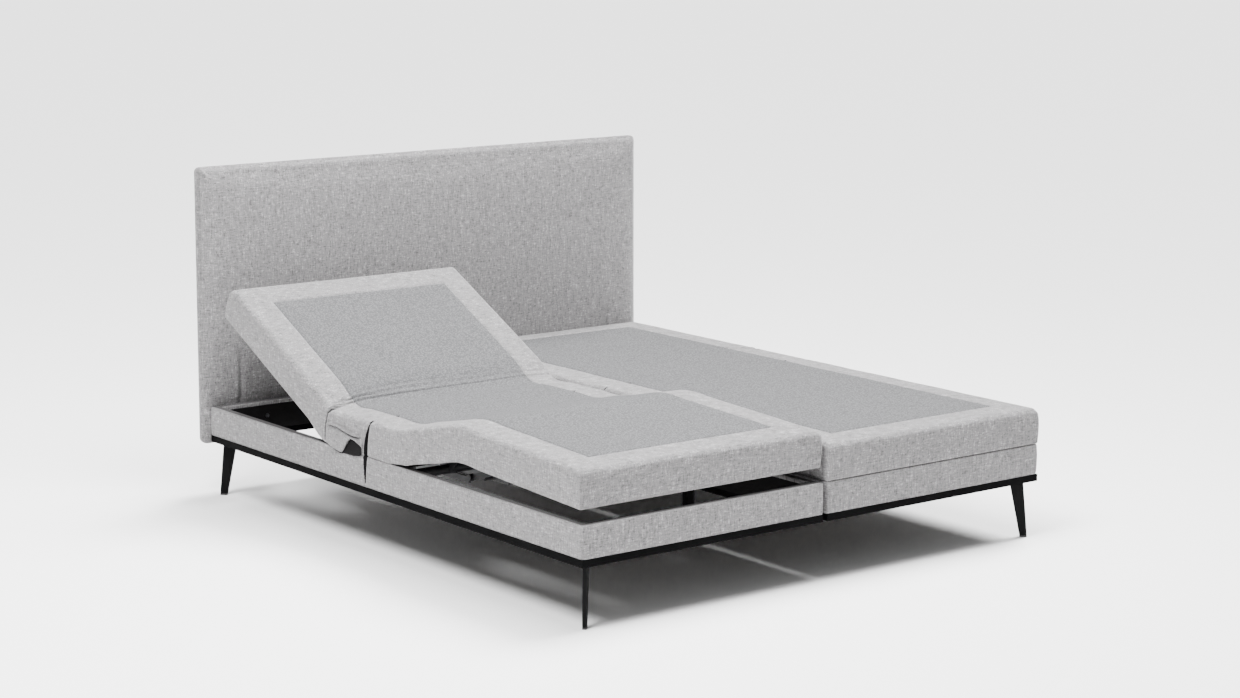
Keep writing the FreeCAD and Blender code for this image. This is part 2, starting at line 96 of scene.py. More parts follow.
def overcast(strength, spread_degrees, lean):
    """Wide even light from above, leaning so that none falls through the gap between the boxes."""
    data = bpy.data.lights.new("overhead", "SUN")
    data.energy = strength
    data.angle = math.radians(spread_degrees)
    lamp = bpy.data.objects.new("overhead", data)
    lamp.rotation_euler = tuple(math.radians(part) for part in lean)
    bpy.context.scene.collection.objects.link(lamp)


overcast(9.6, 30.0, (-8.0, 31.0, 0.0))
softbox("key", (-3.7, -1.5, 6.0), (-0.6, 0, 0.3), 3.0, 830)
softbox("headboard", (-0.2, -0.8, 3.4), (0.0, 1.0, 0.9), 2.0, 230)


# ---------------------------------------------------------------- materials

class Finish:
    """Node builder for one procedural material in object space, in metres."""

    def __init__(self, name, colour, roughness, metallic=0.0, sheen=0.0, specular=0.5):
        self.material = bpy.data.materials.new(name)
        self.material.use_nodes = True
        self.nodes = self.material.node_tree.nodes
        self.links = self.material.node_tree.links
        self.shader = self.nodes["Principled BSDF"]
        self.shader.inputs["Base Color"].default_value = (*colour, 1.0)
        self.shader.inputs["Roughness"].default_value = roughness
        self.shader.inputs["Metallic"].default_value = metallic
        self.shader.inputs["Sheen Weight"].default_value = sheen
        self.shader.inputs["Specular IOR Level"].default_value = specular
        self.place = self.nodes.new("ShaderNodeTexCoord").outputs["Object"]

    def stretched(self, scale):
        node = self.nodes.new("ShaderNodeMapping")
        node.inputs["Scale"].default_value = scale
        self.links.new(self.place, node.inputs["Vector"])
        return node.outputs["Vector"]

    def noise(self, scale, detail=2.0, rough=0.55, vector=None, distortion=0.0):
        node = self.nodes.new("ShaderNodeTexNoise")
        node.inputs["Scale"].default_value = scale
        node.inputs["Detail"].default_value = detail
        node.inputs["Roughness"].default_value = rough
        node.inputs["Distortion"].default_value = distortion
        self.links.new(vector or self.place, node.inputs["Vector"])
        return node.outputs["Fac"]

    def cells(self, scale):
        node = self.nodes.new("ShaderNodeTexVoronoi")
        node.inputs["Scale"].default_value = scale
        self.links.new(self.place, node.inputs["Vector"])
        return node.outputs["Distance"]

    def bands(self, direction, pitch, distortion=0.0):
        node = self.nodes.new("ShaderNodeTexWave")
        node.bands_direction = direction
        node.inputs["Scale"].default_value = 2 * math.pi / (20 * pitch)
        node.inputs["Distortion"].default_value = distortion
        node.inputs["Detail"].default_value = 1.0
        self.links.new(self.place, node.inputs["Vector"])
        return node.outputs["Fac"]

    def math(self, kind, a, b):
        node = self.nodes.new("ShaderNodeMath")
        node.operation = kind
        for socket, value in zip(node.inputs, (a, b)):
            if isinstance(value, (int, float)):
                socket.default_value = value
            else:
                self.links.new(value, socket)
        return node.outputs["Value"]

    def total(self, *terms):
        """Weighted sum of (value, weight) pairs."""
        result = 0.0
        for value, weight in terms:
            result = self.math("ADD", self.math("MULTIPLY", value, weight), result)
        return result

    def ramp(self, value, *stops):
        node = self.nodes.new("ShaderNodeValToRGB")
        while len(node.color_ramp.elements) < len(stops):
            node.color_ramp.elements.new(0.5)
        for element, (position, colour) in zip(node.color_ramp.elements, stops):
            element.position = position
            element.color = (*colour, 1.0) if isinstance(colour, tuple) else (colour, colour, colour, 1.0)
        self.links.new(value, node.inputs["Fac"])
        return node.outputs["Color"]

    def spread(self, value, low, high, to_low, to_high):
        node = self.nodes.new("ShaderNodeMapRange")
        for socket, number in zip(list(node.inputs)[1:5], (low, high, to_low, to_high)):
            socket.default_value = number
        self.links.new(value, node.inputs["Value"])
        return node.outputs["Result"]

    def tint(self, colour, factor):
        """Multiplies a colour by a grey factor."""
        node = self.nodes.new("ShaderNodeMix")
        node.data_type = "RGBA"
        node.blend_type = "MULTIPLY"
        node.inputs["Factor"].default_value = 1.0
        self.links.new(colour, node.inputs["A"])
        self.links.new(factor, node.inputs["B"])
        return node.outputs["Result"]

    def colour(self, value):
        self.links.new(value, self.shader.inputs["Base Color"])

    def roughness(self, value):
        self.links.new(value, self.shader.inputs["Roughness"])

    def bump(self, height, distance, strength):
        node = self.nodes.new("ShaderNodeBump")
        node.inputs["Strength"].default_value = strength
        node.inputs["Distance"].default_value = distance
        self.links.new(height, node.inputs["Height"])
        self.links.new(node.outputs["Normal"], self.shader.inputs["Normal"])


YARN_PITCH = 0.0024
PLY_PITCH = 0.0030
GRIP_PITCH = 0.0016


def woven(name, dark, body, light):
    """Melange upholstery cloth: short slubs along both yarns, flecks, and a plain weave in relief."""
    f = Finish(name, body, 0.93, sheen=0.18, specular=0.25)
    f.shader.inputs["Sheen Roughness"].default_value = 0.6
    weft = f.noise(1.0, 3.0, 0.62, f.stretched((44, 44, 230)))
    warp = f.noise(1.0, 3.0, 0.62, f.stretched((215, 215, 40)))
    flecks = f.noise(270, 3.0, 0.65)
    cloud = f.noise(16, 3.0, 0.5)
    melange = f.total((weft, 0.34), (warp, 0.34), (flecks, 0.32))
    yarn = f.ramp(melange, (0.40, dark), (0.48, body), (0.53, body), (0.61, light))
    # Painted shade: the fold attribute darkens the cloth down to a tenth in creases and grooves.
    folds = f.nodes.new("ShaderNodeAttribute")
    folds.attribute_name = "fold"
    fold_shaded = f.tint(yarn, f.ramp(folds.outputs["Fac"], (0.0, 1.0), (1.0, 0.10)))
    f.colour(f.tint(fold_shaded, f.ramp(cloud, (0.3, 0.93), (0.7, 1.0))))
    f.roughness(f.spread(flecks, 0.3, 0.7, 0.86, 0.98))
    weave = f.total(*((f.bands(way, YARN_PITCH, 0.6), 0.33) for way in "XYZ"))
    f.bump(f.total((weave, 0.6), (melange, 0.7)), 0.0008, 0.7)
    return f.material


def felted(name, dark, light):
    """Thin non-woven lining with matted fibres and a fine pressed grid."""
    f = Finish(name, dark, 0.95, specular=0.08)
    fibres = f.noise(420, 4.0, 0.7, distortion=1.5)
    grid = f.cells(420)
    f.colour(f.ramp(fibres, (0.35, dark), (0.7, light)))
    f.roughness(f.spread(fibres, 0.3, 0.7, 0.88, 0.98))
    f.bump(f.total((fibres, 0.6), (grid, 0.5)), 0.0004, 0.6)
    return f.material


def grip_cloth(name, dark, light):
    """Anti-slip cloth of the lying surface: close weave with small raised dots."""
    f = Finish(name, dark, 0.9, specular=0.3)
    dots = f.cells(165)
    threads = f.total((f.bands("X", GRIP_PITCH), 0.5), (f.bands("Y", GRIP_PITCH), 0.5))
    fine = f.noise(600, 2.0)
    f.colour(f.ramp(f.total((dots, 0.5), (fine, 0.5)), (0.3, light), (0.6, dark)))
    f.roughness(f.spread(dots, 0.1, 0.5, 0.6, 0.92))
    f.bump(f.total((dots, -0.8), (threads, 0.3)), 0.0006, 0.6)
    return f.material


def coated_steel(name, colour, worn, roughness, specular):
    """Powder coat: fine orange peel, a little dust, slightly worn high spots."""
    f = Finish(name, colour, roughness, specular=specular)
    peel = f.noise(520, 3.0, 0.5)
    dust = f.noise(9, 4.0, 0.6)
    scuffs = f.noise(1.0, 4.0, 0.7, f.stretched((40, 40, 8)))
    f.colour(f.ramp(f.total((dust, 0.6), (scuffs, 0.4)), (0.42, colour), (0.68, worn)))
    rubbed = f.total((peel, 0.5), (scuffs, 0.5))
    f.roughness(f.spread(rubbed, 0.3, 0.7, roughness - 0.08, roughness + 0.12))
    f.bump(peel, 0.0003, 0.5)
    return f.material


def plywood_finish(name, tones):
    """Plywood: long grain on the faces and glued plies on the edges, in dark, middle and light tones."""
    f = Finish(name, tones[1], 0.6, specular=0.25)
    grain = f.noise(1.0, 6.0, 0.65, f.stretched((55, 3.2, 55)), distortion=0.6)
    pores = f.noise(1.0, 3.0, 0.6, f.stretched((900, 40, 900)))
    plies = f.bands("Z", PLY_PITCH)
    wood = f.ramp(f.total((grain, 0.8), (pores, 0.2)), (0.3, tones[0]), (0.5, tones[1]), (0.72, tones[2]))
    f.colour(f.tint(wood, f.ramp(plies, (0.2, 0.86), (0.8, 1.0))))
    f.roughness(f.spread(grain, 0.3, 0.7, 0.5, 0.75))
    f.bump(f.total((pores, 0.6), (grain, 0.4)), 0.0005, 0.5)
    return f.material


def plated_steel(name):
    f = Finish(name, (0.055, 0.056, 0.06), 0.42, metallic=1.0)
    haze = f.noise(160, 4.0, 0.6)
    brushed = f.noise(1.0, 2.0, 0.5, f.stretched((900, 900, 90)))
    f.colour(f.ramp(haze, (0.3, (0.035, 0.036, 0.039)), (0.7, (0.080, 0.081, 0.085))))
    f.roughness(f.spread(f.total((haze, 0.5), (brushed, 0.5)), 0.3, 0.7, 0.25, 0.5))
    f.bump(brushed, 0.0002, 0.4)
    return f.material


def moulded(name, colour, light, roughness, grain_scale):
    """Moulded plastic with a fine spark-eroded texture and faint flow marks."""
    f = Finish(name, colour, roughness, specular=0.45)
    grain = f.noise(grain_scale, 3.0, 0.6)
    flow = f.noise(12, 3.0, 0.5, distortion=1.0)
    f.colour(f.ramp(f.total((grain, 0.4), (flow, 0.6)), (0.35, colour), (0.7, light)))
    mottle = f.total((grain, 0.6), (flow, 0.4))
    f.roughness(f.spread(mottle, 0.3, 0.7, roughness - 0.1, roughness + 0.12))
    f.bump(grain, 0.0004, 0.5)
    return f.material


CLOTH = woven("grey_weave", (0.062, 0.060, 0.061), (0.152, 0.1475, 0.1495), (0.315, 0.307, 0.310))
GRIP = grip_cloth("grip_cloth", (0.062, 0.062, 0.064), (0.115, 0.115, 0.119))
# Black lining; also painted shade in the slit beside the hip, on the butt-seam caps and in the gusset.
BLACK_LINING_AND_SHADE = felted("black_lining_and_painted_shade", (0.004, 0.0037, 0.004), (0.011, 0.0105, 0.011))
# Grey on the rails' top faces is painted shade, given a felt-like texture.
PAINTED_RAIL_TOP_SHADE = felted("rail_top_painted_shade", (0.056, 0.055, 0.056), (0.095, 0.093, 0.094))
BLACK_STEEL = coated_steel("black_steel", (0.0013, 0.0013, 0.0014), (0.0032, 0.0032, 0.0034), 0.65, 0.02)
LEG_STEEL = coated_steel("leg_steel", (0.0032, 0.0032, 0.0034), (0.0065, 0.0065, 0.0068), 0.6, 0.05)
FRAME_STEEL = coated_steel("frame_steel", (0.012, 0.012, 0.013), (0.024, 0.024, 0.026), 0.45, 0.25)
ZINC = plated_steel("zinc_bolts")
STAINS = ((0.012, 0.010, 0.009), (0.024, 0.020, 0.017), (0.045, 0.038, 0.032))
STAINED = plywood_finish("stained_plywood", STAINS)
NYLON = moulded("nylon", (0.020, 0.020, 0.021), (0.036, 0.036, 0.038), 0.42, 300)
GLIDE = moulded("black_glide", (0.012, 0.012, 0.012), (0.025, 0.025, 0.025), 0.5, 400)
BLACK_PLASTIC = moulded("black_plastic", (0.016, 0.016, 0.017), (0.03, 0.03, 0.032), 0.5, 650)

FINISHES = {
    "plinth_": BLACK_STEEL, "leg_foot": LEG_STEEL, "leg_head": LEG_STEEL, "support_legs": LEG_STEEL,
    "leg_glides": GLIDE, "leg_bolts": ZINC, "corner_blocks": STAINED, "headboard_core": STAINED,
    "headboard_bolts": ZINC, "box_coupling_bolts": ZINC, "tube_bearings": NYLON,
}
SIDE_FINISHES = {
    "cross_members": STAINED, "seat_board": STAINED, "back_board": STAINED, "thigh_board": STAINED,
    "calf_board": STAINED, "link_brackets": FRAME_STEEL, "drive_housing": BLACK_PLASTIC,
    "back_frame": FRAME_STEEL, "thigh_frame": FRAME_STEEL, "calf_frame": FRAME_STEEL,
    "calf_links": FRAME_STEEL,
    "back_push_block": BLACK_PLASTIC, "leg_push_block": BLACK_PLASTIC,
}


def dress(node, material):
    if not node.material_slots:
        node.data.materials.append(material)
    for place in node.material_slots:
        place.material = material


for name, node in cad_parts.items():
    for start, material in FINISHES.items():
        if name.startswith(start):
            dress(node, material)
    for end, material in SIDE_FINISHES.items():
        if name in ("left_" + end, "right_" + end):
            dress(node, material)


# ---------------------------------------------------------------- sizes read from the model

def lows_highs(node):
    low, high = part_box(node)
    return np.array(low), np.array(high)


# HALF is the bed's half width, GAP half the gap between the boxes, WIDE the width of one box and RAIL the
# thickness of its rails. Covers are laid out flat, with X as the distance out from the gap.
RAIL_LOW, RAIL_HIGH = lows_highs("right_side_rail")
PAD_LOW, PAD_HIGH = lows_highs("right_back_pad")
HEAD_LOW, HEAD_HIGH = lows_highs("headboard_padding")
CORE_LOW, CORE_HIGH = lows_highs("headboard_core")
HALF = RAIL_HIGH[0]
GAP = lows_highs("right_inner_rail")[0][0]
RAIL = HALF - RAIL_LOW[0]
WIDE = HALF - GAP
TOP = PAD_HIGH[2]
BOTTOM = PAD_LOW[2]
FOOT = lows_highs("right_calf_pad")[0][1]
HEAD = PAD_HIGH[1]
BOARD_TOP = BOTTOM + 0.0155
BOARD_INSET = 0.0147
EDGE_TOP = 0.018
EDGE_BOTTOM = 0.005

# Hinge axes as (Y, Z) with the half flat, and how far each side is raised, as (back, thigh) in degrees.
HIP = (0.275, 0.270)
THIGH = (-0.125, 0.270)
KNEE = (-0.478, 0.292)
SIDES = (("left", -1), ("right", 1))
RAISED = {"left": (26.0, 11.5), "right": (0.0, 0.0)}
CALF_PER_THIGH = 1.23
# Y where the cover's bend over each hinge starts and ends, with the half flat.
HIP_BLEND = (0.185, 0.435)
THIGH_BLEND = (-0.015, -0.245)
KNEE_BLEND = (-0.375, -0.585)
BLEND_HEIGHT = 0.345
THIGH_END = -0.30
PAD_PRESSURE = 3.0
PAD_CAP = 0.006
HEADBOARD_CAP = 0.007
HAIR = 1e-4


# ---------------------------------------------------------------- mesh helpers

def smooth(t):
    t = np.clip(t, 0.0, 1.0)
    return t * t * (3 - 2 * t)


def bell(offset, width):
    return np.exp(-((offset / width) ** 2))


def in_order(values):
    return np.array(sorted(set(np.round(values, 5))))


def lines(*runs):
    """Grid lines: each run is (start, end, largest step)."""
    found = []
    for start, end, step in runs:
        count = max(1, math.ceil(abs(end - start) / step))
        found += list(np.linspace(start, end, count + 1))
    return in_order(found)


def wobble(points, scale, amount):
    return np.array([noise.noise(Vector(p) * scale) for p in points]) * amount


def grid_box(xs, ys, zs):
    """Surface of a box as quads: points, their (i, j, k) line numbers, faces, and each face's (axis, end)."""
    last = (len(xs) - 1, len(ys) - 1, len(zs) - 1)
    number = {}
    keys = []

    def point(key):
        if key not in number:
            number[key] = len(keys)
            keys.append(key)
        return number[key]

    faces = []
    sides = []
    for axis in range(3):
        a, b = [n for n in range(3) if n != axis]
        for at_end in (0, 1):
            fixed = last[axis] * at_end
            for i in range(last[a]):
                for j in range(last[b]):
                    corners = []
                    for da, db in ((0, 0), (1, 0), (1, 1), (0, 1)):
                        key = [0, 0, 0]
                        key[axis] = fixed
                        key[a] = i + da
                        key[b] = j + db
                        corners.append(point(tuple(key)))
                    flip = (axis == 1) == (at_end == 1)
                    faces.append(corners[::-1] if flip else corners)
                    sides.append((axis, at_end))
    keys = np.array(keys)
    points = np.stack([xs[keys[:, 0]], ys[keys[:, 1]], zs[keys[:, 2]]], axis=1)
    return points, keys, faces, sides


def round_off(points, low, high, radius, square=()):
    """Rounds a box's edges, but not those of the (axis, end) faces in square, where a piece butts on."""
    inner_low = np.array(low) + radius[:, None]
    inner_high = np.array(high) - radius[:, None]
    inner = np.clip(points, inner_low, inner_high)
    for axis, at_end in square:
        side = points[:, axis] > high[axis] - radius if at_end else points[:, axis] < low[axis] + radius
        inner[side, axis] = points[side, axis]
    away = points - inner
    length = np.linalg.norm(away, axis=1)
    moved = length > 1e-9
    result = points.copy()
    result[moved] = inner[moved] + away[moved] * (radius[moved] / length[moved])[:, None]
    return result


def piece_of(name, points, faces, materials, face_materials, sharp=(), fold=None):
    """Mesh object. Edges round the sharp faces stay hard, and fold is how much painted shade darkens the
    cloth at each point, in creases and grooves.
    """
    mesh = bpy.data.meshes.new(name)
    mesh.from_pydata([tuple(p) for p in points], [], [tuple(f) for f in faces])
    for material in materials:
        mesh.materials.append(material)
    mesh.polygons.foreach_set("material_index", np.array(face_materials, np.int32))
    mesh.polygons.foreach_set("use_smooth", np.ones(len(faces), bool))
    edge_faces = {}
    for number in sharp:
        for key in mesh.polygons[number].edge_keys:
            edge_faces[key] = edge_faces.get(key, 0) + 1
    for edge in mesh.edges:
        edge.use_edge_sharp = edge_faces.get(edge.key) == 1
    if fold is not None:
        mesh.attributes.new("fold", "FLOAT", "POINT").data.foreach_set("value", np.clip(fold, 0, 1))
    mesh.validate()
    mesh.update()
    piece = bpy.data.objects.new(name, mesh)
    bpy.context.scene.collection.objects.link(piece)
    return piece


def puff(points, faces, pinned, pressure, cap, frames=20):
    """Cloth under light pressure, held at pinned points; no point moves by more than cap."""
    mesh = bpy.data.meshes.new("puff")
    mesh.from_pydata([tuple(p) for p in points], [], [tuple(f) for f in faces])
    mesh.update()
    cloth = bpy.data.objects.new("puff", mesh)
    bpy.context.scene.collection.objects.link(cloth)
    group = cloth.vertex_groups.new(name="pin")
    group.add([int(i) for i in np.nonzero(pinned)[0]], 1.0, "REPLACE")
    modifier = cloth.modifiers.new("Cloth", "CLOTH")
    settings = modifier.settings
    settings.quality = 4
    settings.mass = 0.4
    settings.tension_stiffness = 25
    settings.compression_stiffness = 25
    settings.shear_stiffness = 12
    settings.bending_stiffness = 0.6
    settings.use_pressure = True
    settings.uniform_pressure_force = pressure
    settings.vertex_group_mass = "pin"
    settings.effector_weights.gravity = 0.0
    modifier.collision_settings.use_collision = False
    modifier.point_cache.frame_start = 1
    modifier.point_cache.frame_end = frames
    scene = bpy.context.scene
    for step in range(1, frames + 1):
        scene.frame_set(step)
    ready = cloth.evaluated_get(bpy.context.evaluated_depsgraph_get())
    moved = np.zeros(len(points) * 3)
    ready.data.vertices.foreach_get("co", moved)
    moved = moved.reshape(-1, 3)
    scene.frame_set(1)
    bpy.data.objects.remove(cloth)
    shift = moved - points
    length = np.linalg.norm(shift, axis=1)
    scale = np.minimum(1.0, cap / np.maximum(length, 1e-9))
    return points + shift * scale[:, None]


# ---------------------------------------------------------------- raising the lying sections

def turned(points, pivot, angle):
    """Points turned about the X axis through pivot (y, z)."""
    y = points[:, 1] - pivot[0]
    z = points[:, 2] - pivot[1]
    c, s = np.cos(angle), np.sin(angle)
    return np.stack([points[:, 0], pivot[0] + y * c - z * s, pivot[1] + y * s + z * c], axis=1)


def bent(points, pivot, angle, start, end):
    """Flat points bent about pivot, so that blending from start to end lays them flat as the joint closes."""
    if abs(angle) < 1e-9:
        return points
    run = end - start
    low = np.zeros(len(points))
    high = np.ones(len(points))
    for _ in range(40):
        share = (low + high) / 2
        moved = turned(points, pivot, share * angle)
        above = smooth((moved - start) @ run / (run @ run)) > share
        low = np.where(above, share, low)
        high = np.where(above, high, share)
    return turned(points, pivot, (low + high) / 2 * angle)


def blend_ends(pivot, angle, span):
    """Blend start and end, as points in the raised pose, for a span of Y in the flat one."""
    end = turned(np.array([[0.0, span[1], BLEND_HEIGHT]]), pivot, angle)
    return np.array([0.0, span[0], BLEND_HEIGHT]), end[0]


def placed(side_sign, points):
    """From distance out from the middle gap to X on one side."""
    result = points.copy()
    result[:, 0] = side_sign * (GAP + points[:, 0])
    return result


def wound(faces, side_sign):
    return [f[::-1] for f in faces] if side_sign < 0 else faces


# ---------------------------------------------------------------- lying-surface covers

SLIT_Y = 0.0516
SLIT_LEAN = 0.033
SLIT_WIDEST = 0.0225
SLIT_LOW, SLIT_HIGH = 0.212, 0.425


def slit_line(z):
    """Y of the open seam beside the hip, which leans to the foot as it rises."""
    up = np.clip((z - RAIL_HIGH[2]) / 0.12, 0, 1)
    return SLIT_Y - SLIT_LEAN * up ** 1.6


def slit_width(z):
    """Lens shape, pointed at both ends."""
    rise = np.clip((z - SLIT_LOW) / (SLIT_HIGH - SLIT_LOW), 0, 1)
    return SLIT_WIDEST * np.sin(math.pi * rise ** 1.12) ** 1.05


EDGE_STEPS = (0.0, 0.0036, 0.0076, 0.0122, EDGE_TOP)
BOARD_STEPS = (0.0144, 0.0147)
SEAM_STEPS = np.array([-0.008, -0.004, -0.0015, 0.0, 0.0015, 0.004, 0.008])
SEAM = 0.105


def across_lines():
    near = [*EDGE_STEPS, *BOARD_STEPS, 0.03, 0.048, 0.066, 0.084]
    near += [0.097, 0.101, 0.1035, SEAM, 0.1065, 0.109, 0.113]
    return in_order([*lines((0.135, WIDE - 0.135, 0.023)), *near, *(WIDE - x for x in near)])


def height_lines():
    low = [BOTTOM + x for x in (0.0, 0.002, 0.005, 0.012, 0.024, 0.038, 0.052, 0.066, 0.080)]
    return in_order(low + [TOP - x for x in EDGE_STEPS])


def lay_pad(ys, foot_free):
    """Flat padded cover over the boards, from ys[0] to ys[-1], free at its foot end or else its head end."""
    xs = across_lines()
    zs = height_lines()
    points, keys, faces, sides = grid_box(xs, ys, zs)
    flat = points.copy()
    low = np.array([0.0, ys[0], BOTTOM])
    high = np.array([WIDE, ys[-1], TOP])
    rise = (flat[:, 2] - BOTTOM) / (TOP - BOTTOM)
    radius = EDGE_BOTTOM + (EDGE_TOP - EDGE_BOTTOM) * smooth((rise - 0.78) / 0.18)
    rounded = round_off(flat, low, high, radius, [(1, 1 if foot_free else 0)])

    inside = (flat[:, 0] > BOARD_INSET - HAIR) & (flat[:, 0] < WIDE - BOARD_INSET + HAIR)
    if foot_free:
        inside &= flat[:, 1] > ys[0] + BOARD_INSET - HAIR
    else:
        inside &= flat[:, 1] < ys[-1] - BOARD_INSET + HAIR
    butt = keys[:, 1] == (len(ys) - 1 if foot_free else 0)
    under = (keys[:, 2] == 0) | butt
    lifted = inside & under
    rounded[lifted, 2] = BOARD_TOP + (rounded[lifted, 2] - BOTTOM) * (TOP - BOARD_TOP) / (TOP - BOTTOM)

    pinned = (keys[:, 2] <= 2) | butt
    rounded = puff(rounded, faces, pinned, PAD_PRESSURE, PAD_CAP)
    return rounded, flat, keys, faces, sides


CROWN, CROWN_REACH = 0.0045, 0.14
BELLY = 0.0026
CHANNEL, CHANNEL_WIDTH = 0.0028, 0.0035
UNEVEN = 0.0011


def soften_pad(points, flat, ys, foot_free, seam_y):
    """Crown, bellied sides, sewn border channel and light unevenness, in the flat layout."""
    side = np.minimum(flat[:, 0], WIDE - flat[:, 0])
    free = flat[:, 1] - ys[0] if foot_free else ys[-1] - flat[:, 1]
    rise = np.clip((flat[:, 2] - BOARD_TOP) / (TOP - BOARD_TOP), 0, 1)
    crown = CROWN * smooth(side / CROWN_REACH) * smooth(free / CROWN_REACH)
    points[:, 2] += crown * rise

    belly = BELLY * np.sin(math.pi * np.clip((flat[:, 2] - BOTTOM) / (TOP - BOTTOM), 0, 1))
    points[:, 0] += belly * ((flat[:, 0] > WIDE - 1e-6) * 1.0 - (flat[:, 0] < 1e-6) * 0.6)
    if foot_free:
        points[:, 1] -= belly * (flat[:, 1] < ys[0] + 1e-6)
    else:
        points[:, 1] += belly * (flat[:, 1] > ys[-1] - 1e-6)

    on_top = flat[:, 2] > TOP - 1e-6
    from_side, from_end = np.abs(side - SEAM), np.abs(flat[:, 1] - seam_y)
    within = np.minimum(from_side, np.where(side > SEAM - HAIR, from_end, 1.0))
    beyond = np.where(side > SEAM + 0.002, from_end, np.hypot(from_side, from_end))
    past = flat[:, 1] < seam_y - HAIR if foot_free else flat[:, 1] > seam_y + HAIR
    along = np.where(past, beyond, within)
    points[:, 2] -= on_top * CHANNEL * bell(along, CHANNEL_WIDTH)

    loose = smooth((flat[:, 2] - BOTTOM) / 0.02)
    points[:, 2] += wobble(flat, 7.0, UNEVEN) * loose * rise
    outer = smooth((flat[:, 0] - WIDE + 0.02) / 0.02)
    points[:, 0] += wobble(flat + 3.1, 8.0, UNEVEN) * loose * outer
    return points


HIP_LIFT = 0.0045
THIGH_LIFT = 0.0040


def hem_at_folds(points, flat):
    """Lifts the lower edge where the cloth gathers at a fold, so that it clears the rail as it moves."""
    low = 1 - smooth((flat[:, 2] - BOTTOM) / 0.02)
    y = flat[:, 1]
    hip = smooth((y - 0.15) / 0.05) * (1 - smooth((y - HIP[0]) / 0.02))
    thigh = smooth((y + 0.185) / 0.03) * (1 - smooth((y + 0.105) / 0.02))
    points[:, 2] += low * (HIP_LIFT * hip + THIGH_LIFT * thigh)
    return points


def open_slit(points, flat, butt_y, way):
    """Shears a cover's end to the leaning seam, and draws it back for the lens-shaped slit outside."""
    near = 1 - smooth(np.abs(flat[:, 1] - butt_y) / 0.10)
    points[:, 1] += (slit_line(flat[:, 2]) - butt_y) * near
    edge = 1 - smooth((WIDE - flat[:, 0]) / 0.035)
    close = bell(flat[:, 1] - butt_y, 0.012)
    points[:, 1] += way * slit_width(flat[:, 2]) / 2 * close * edge
    points[:, 0] -= 0.0035 * close * edge * (flat[:, 0] > WIDE - 0.02)
    return points


CREASE_HEIGHTS = (0.31, 0.345, 0.372, 0.397, 0.413)
CREASE_LINE = (0.293, 0.2965, 0.296, 0.2935, 0.291)
FAN = ((0.285, 0.050, 0.8), (0.291, 0.075, 1.0), (0.300, 0.095, 0.6))


def hip_folds(points, flat, depth):
    """Hip folds: a crease up the outer side that fans out over the top. Returns the points and the shade."""
    z = flat[:, 2]
    y = flat[:, 1]
    out = flat[:, 0] > WIDE - 0.010
    line = np.interp(z, CREASE_HEIGHTS, CREASE_LINE)
    strength = smooth((z - 0.306) / 0.025)
    crease = bell(y - line, 0.0040) * strength
    roll = bell(y - line + 0.018, 0.013) * strength
    points[:, 0] += out * (-0.0085 * crease + 0.0050 * roll) * depth
    shade = out * bell(y - line - 0.0030, 0.0042) * strength * depth

    top = smooth((z - TOP + 0.012) / 0.012)
    in_from_edge = np.clip(WIDE - flat[:, 0], 0, WIDE)
    fade = np.exp(-in_from_edge / 0.28) * 0.8 + 0.2
    curl = 1 - np.exp(-np.maximum(in_from_edge - 0.018, 0) / 0.075)
    for begin, reach, size in FAN:
        ridge = begin + reach * curl
        valley = bell(y - ridge, 0.0042)
        swell = bell(y - ridge - 0.010, 0.007)
        points[:, 2] += top * (-0.0105 * valley + 0.0045 * swell) * fade * size * depth
        dark = bell(y - ridge - 0.0015, 0.0038)
        shade = np.maximum(shade, top * 0.9 * dark * fade * size * depth)
    return points, shade


CUT_END = 2
WEAVE_FACE, GRIP_FACE, LINING_AND_SLIT_SHADE_FACE = 0, 1, 2


def cap_split(points, faces, sides, keys, row):
    """Splits a cover at a row of its grid into two closed covers that butt there."""
    halves = []
    ring = {tuple(key): number for number, key in enumerate(keys) if key[1] == row}
    count_x = keys[:, 0].max()
    count_z = keys[:, 2].max()
    loop = [ring[(i, row, 0)] for i in range(count_x)]
    loop += [ring[(count_x, row, k)] for k in range(count_z)]
    loop += [ring[(i, row, count_z)] for i in range(count_x, 0, -1)]
    loop += [ring[(0, row, k)] for k in range(count_z, 0, -1)]
    middle = np.array([keys[list(f), 1].mean() for f in faces])
    for part, cap in ((middle < row, loop[::-1]), (middle > row, loop)):
        chosen = [n for n in range(len(faces)) if part[n]]
        used = sorted(set(v for n in chosen for v in faces[n]))
        renumber = {v: i for i, v in enumerate(used)}
        part_faces = [tuple(renumber[v] for v in faces[n]) for n in chosen]
        part_faces.append(tuple(renumber[v] for v in cap))
        part_sides = [sides[n] for n in chosen] + [(1, CUT_END)]
        halves.append((points[used], part_faces, part_sides, used))
    return halves


def pad_materials(flat, faces, sides, seam_y, foot_free, butt_end):
    """Weave outside, anti-slip cloth inside the sewn border, lining below, and black lining at the butt seams
    as painted shade in the slit beside the hip.
    """
    result = []
    for face, (axis, at_end) in zip(faces, sides):
        middle = flat[list(face)].mean(axis=0)
        side = min(middle[0], WIDE - middle[0])
        inside = middle[1] > seam_y if foot_free else middle[1] < seam_y
        if axis == 2 and at_end == 0:
            result.append(LINING_AND_SLIT_SHADE_FACE if BOARD_INSET < side else WEAVE_FACE)
        # The butt-seam caps take the black lining as painted shade in the slit.
        elif axis == 1 and at_end in (CUT_END, butt_end):
            result.append(LINING_AND_SLIT_SHADE_FACE)
        elif axis == 2 and side > SEAM and inside:
            result.append(GRIP_FACE)
        else:
            result.append(WEAVE_FACE)
    return result


